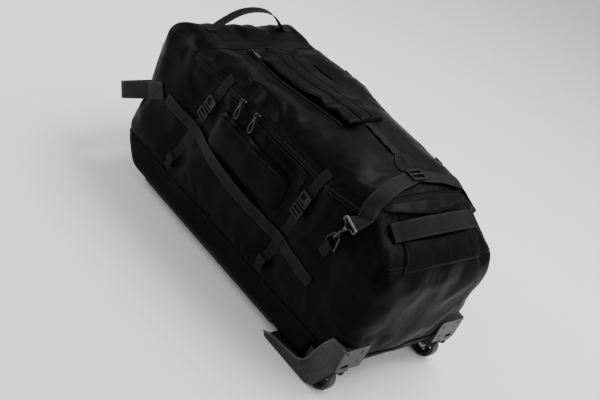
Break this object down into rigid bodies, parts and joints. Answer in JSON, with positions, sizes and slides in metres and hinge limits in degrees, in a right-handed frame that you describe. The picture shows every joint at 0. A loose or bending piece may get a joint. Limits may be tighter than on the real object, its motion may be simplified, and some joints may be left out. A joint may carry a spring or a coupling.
{
  "type": "rolling duffel bag",
  "caption": "Large soft rolling duffel with hinged zip lid, corner wheels in moulded guards, telescoping tow handle, compression straps and webbing handles.",
  "frame": {"origin": "on the floor under the middle of the whole bag as it lies on its back panel", "axes": "+X to the wheel end, -Y to the left side, +Z from the back panel to the lid"},
  "size_m": [0.9612, 0.472, 0.4934],
  "materials": {
    "coated_fabric": "coated, slightly glossy charcoal",
    "lid_fabric": "coated ripstop, slightly glossy charcoal",
    "pocket_fabric": "smooth glossy black film fabric",
    "webbing": "ribbed nylon webbing, black",
    "piping": "corded edge, black",
    "zip_coil": "black nylon coil zip",
    "zip_metal": "black painted die-cast",
    "pull_rubber": "moulded soft black pull",
    "guard_plastic": "satin textured dark grey moulding",
    "buckle_plastic": "black acetal",
    "hook_steel": "black plated steel",
    "screw_steel": "zinc plated, slightly worn",
    "axle_steel": "bare steel",
    "tyre_rubber": "polyurethane tread, black",
    "hub_plastic": "moulded hub, dark grey",
    "tube_alloy": "anodised, satin",
    "grip_plastic": "soft touch black",
    "button_plastic": "dark grey button",
    "board_plastic": "polyethylene sheet"
  },
  "bodies": {
    "bag": {"tub_shell": "coated_fabric", "wall_shell": "coated_fabric", "seam_piping": "piping", "zip_chain_lower": "zip_coil", "ring_tabs": "webbing", "end_haul_handle": "webbing", "top_grab_handle": "webbing", "wheel_end_grab_handle": "webbing", "end_pocket": "coated_fabric", "guard_screws": "screw_steel", "wheel_axles": "axle_steel", "skid_rails": "guard_plastic", "guide_tubes": "tube_alloy", "tube_foot_bracket": "board_plastic", "tube_bezel": "guard_plastic", "base_board": "board_plastic", "corner_ring_left": "hook_steel", "straps_lower_left": "webbing", "ladder_locks_left": "buckle_plastic", "strap_hooks_left": "buckle_plastic", "side_pocket_left": "pocket_fabric", "haul_handle_left": "webbing", "wheel_guard_left": "guard_plastic", "corner_ring_right": "hook_steel", "straps_lower_right": "webbing", "ladder_locks_right": "buckle_plastic", "strap_hooks_right": "buckle_plastic", "side_pocket_right": "pocket_fabric", "haul_handle_right": "webbing", "wheel_guard_right": "guard_plastic"},
    "lid": {"lid_shell": "lid_fabric", "zip_chain_upper": "zip_coil", "lid_padded_band": "lid_fabric", "daisy_chain": "webbing", "strap_anchor_tab": "coated_fabric", "hood_strap": "webbing", "hood_ladder_lock": "buckle_plastic", "straps_upper_left": "webbing", "straps_upper_right": "webbing", "hook_swivel_base_left": "hook_steel", "hook_swivel_base_right": "hook_steel"},
    "wheel_left": {"tyre_left": "tyre_rubber", "wheel_hub_left": "hub_plastic", "wheel_bearings_left": "axle_steel"},
    "wheel_right": {"tyre_right": "tyre_rubber", "wheel_hub_right": "hub_plastic", "wheel_bearings_right": "axle_steel"},
    "tow_handle": {"tow_tubes": "tube_alloy", "tow_grip": "grip_plastic"},
    "grip_button": {"grip_button": "button_plastic"},
    "zip_slider_front": {"zip_slider_front": "zip_metal"},
    "zip_slider_rear": {"zip_slider_rear": "zip_metal"},
    "zip_pull_front": {"zip_pull_front": "pull_rubber"},
    "zip_pull_rear": {"zip_pull_rear": "pull_rubber"},
    "band_zip_slider": {"band_zip_slider": "zip_metal"},
    "band_zip_pull": {"band_zip_pull": "pull_rubber"},
    "snap_hook_left": {"snap_hook_left": "hook_steel"},
    "snap_hook_right": {"snap_hook_right": "hook_steel"},
    "hook_gate_left": {"hook_gate_left": "hook_steel"},
    "hook_gate_right": {"hook_gate_right": "hook_steel"}
  },
  "joints": [
    {"name": "lid_hinge", "type": "hinge", "parent": "bag", "child": "lid", "pos_m": [-0.276, 0, 0.436], "axis": [0, -1, 0], "range_deg": [0, 100]},
    {"name": "wheel_left_spin", "type": "hinge", "parent": "bag", "child": "wheel_left", "pos_m": [0.439, -0.19, 0.035], "axis": [0, 1, 0], "continuous": true},
    {"name": "wheel_right_spin", "type": "hinge", "parent": "bag", "child": "wheel_right", "pos_m": [0.439, 0.19, 0.035], "axis": [0, 1, 0], "continuous": true},
    {"name": "tow_handle_slide", "type": "slide", "parent": "bag", "child": "tow_handle", "axis": [-1, 0, 0], "range_m": [0, 0.43]},
    {"name": "grip_button_press", "type": "slide", "parent": "tow_handle", "child": "grip_button", "axis": [1, 0, 0], "range_m": [0, 0.004], "stiffness_N_per_m": 600, "springref_m": -0.002},
    {"name": "zip_slider_front_slide", "type": "slide", "parent": "bag", "child": "zip_slider_front", "axis": [1, 0, 0], "range_m": [-0.015, 0.2]},
    {"name": "zip_slider_rear_slide", "type": "slide", "parent": "bag", "child": "zip_slider_rear", "axis": [1, 0, 0], "range_m": [-0.045, 0.015]},
    {"name": "zip_pull_front_swing", "type": "hinge", "parent": "zip_slider_front", "child": "zip_pull_front", "pos_m": [-0.024, -0.2195, 0.412], "axis": [-1, 0, 0], "range_deg": [0, 150]},
    {"name": "zip_pull_rear_swing", "type": "hinge", "parent": "zip_slider_rear", "child": "zip_pull_rear", "pos_m": [-0.079, -0.2195, 0.412], "axis": [-1, 0, 0], "range_deg": [0, 150]},
    {"name": "band_zip_slide", "type": "slide", "parent": "lid", "child": "band_zip_slider", "axis": [1, 0, 0.0048], "range_m": [0, 0.09]},
    {"name": "band_pull_swing", "type": "hinge", "parent": "band_zip_slider", "child": "band_zip_pull", "pos_m": [-0.246, -0.068, 0.4441], "axis": [0, -1, 0], "range_deg": [0, 150]},
    {"name": "snap_hook_left_swivel", "type": "hinge", "parent": "lid", "child": "snap_hook_left", "pos_m": [0.32782, -0.221, 0.37298], "axis": [-0.309, 0, -0.9511], "range_deg": [-20, 20]},
    {"name": "hook_gate_left_open", "type": "hinge", "parent": "snap_hook_left", "child": "hook_gate_left", "pos_m": [0.32566, -0.2195, 0.36632], "axis": [0.9511, 0, -0.309], "range_deg": [0, 18], "stiffness_Nm_per_rad": 0.02, "springref_deg": -11.46},
    {"name": "snap_hook_right_swivel", "type": "hinge", "parent": "lid", "child": "snap_hook_right", "pos_m": [0.32782, 0.221, 0.37298], "axis": [-0.309, 0, -0.9511], "range_deg": [-20, 20]},
    {"name": "hook_gate_right_open", "type": "hinge", "parent": "snap_hook_right", "child": "hook_gate_right", "pos_m": [0.32566, 0.2195, 0.36632], "axis": [-0.9511, 0, 0.309], "range_deg": [0, 18], "stiffness_Nm_per_rad": 0.02, "springref_deg": -11.46}
  ]
}
